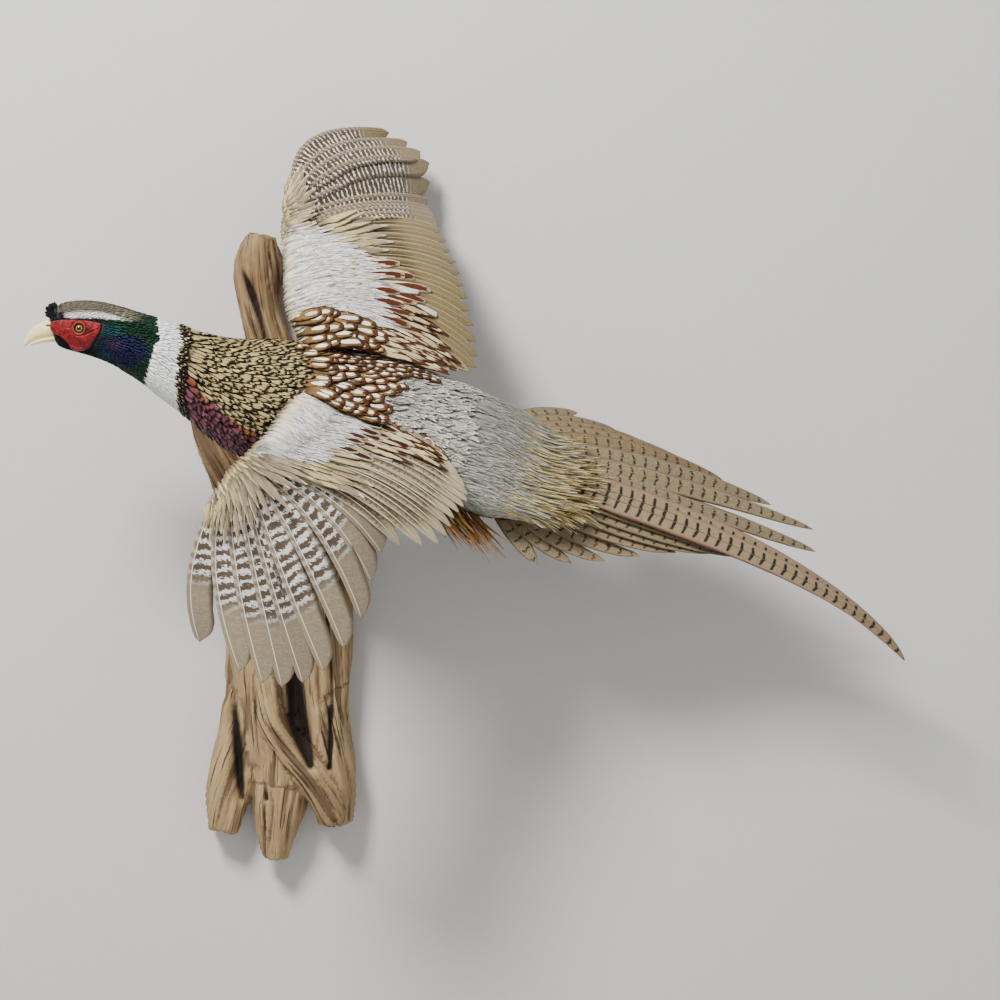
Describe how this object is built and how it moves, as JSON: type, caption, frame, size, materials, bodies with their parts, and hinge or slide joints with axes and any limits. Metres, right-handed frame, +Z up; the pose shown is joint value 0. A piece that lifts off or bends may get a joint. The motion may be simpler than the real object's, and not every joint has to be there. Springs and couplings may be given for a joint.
{
  "type": "taxidermy pheasant",
  "caption": "Life-size taxidermy cock pheasant in banking flight, wings spread and long tail trailing, fixed by short rods to a flat-backed piece of driftwood that hangs on a wall.",
  "frame": {"origin": "middle of the driftwood's flat back face, where it lies against the wall", "axes": "+X from the bird's head towards its tail, +Z up, +Y into the wall; metres"},
  "size_m": [0.8708, 0.332, 0.7673],
  "materials": {
    "plumage": "glossy blue-violet and green head plumage with scarlet facial skin",
    "collar": "matte white neck feathers",
    "mantle": "golden buff feathers with black tips",
    "rump": "pale grey-green hair-like rump plumage",
    "quills": "taupe and cream barred flight feathers",
    "tail": "khaki buff feathers with narrow dark bars",
    "horn": "smooth ivory horn bill",
    "claw": "dark horn claws",
    "scale": "grey scaly leg skin",
    "eye": "glass eye with amber iris",
    "wood": "weathered bare driftwood with open grain",
    "steel": "plain steel"
  },
  "bodies": {
    "root": {"head": "plumage", "neck": "collar", "trunk": "mantle", "wing_left_arm": "mantle", "wing_right_arm": "mantle", "rump": "rump", "thigh_left": "rump", "thigh_right": "rump", "wing_left_primaries": "quills", "wing_left_secondaries": "quills", "wing_left_tertials": "quills", "wing_right_primaries": "quills", "wing_right_secondaries": "quills", "wing_right_tertials": "quills", "tail_right": "tail", "tail_middle": "tail", "tail_left": "tail", "bill_upper": "horn", "bill_lower": "horn", "claw_left_inner": "claw", "claw_left_middle": "claw", "claw_left_outer": "claw", "claw_left_hind": "claw", "claw_right_inner": "claw", "claw_right_middle": "claw", "claw_right_outer": "claw", "claw_right_hind": "claw", "foot_left": "scale", "foot_right": "scale", "eye_left": "eye", "eye_right": "eye", "driftwood": "wood", "hanger_strip": "steel", "mount_rod_1": "steel", "mount_rod_2": "steel"}
  },
  "joints": []
}
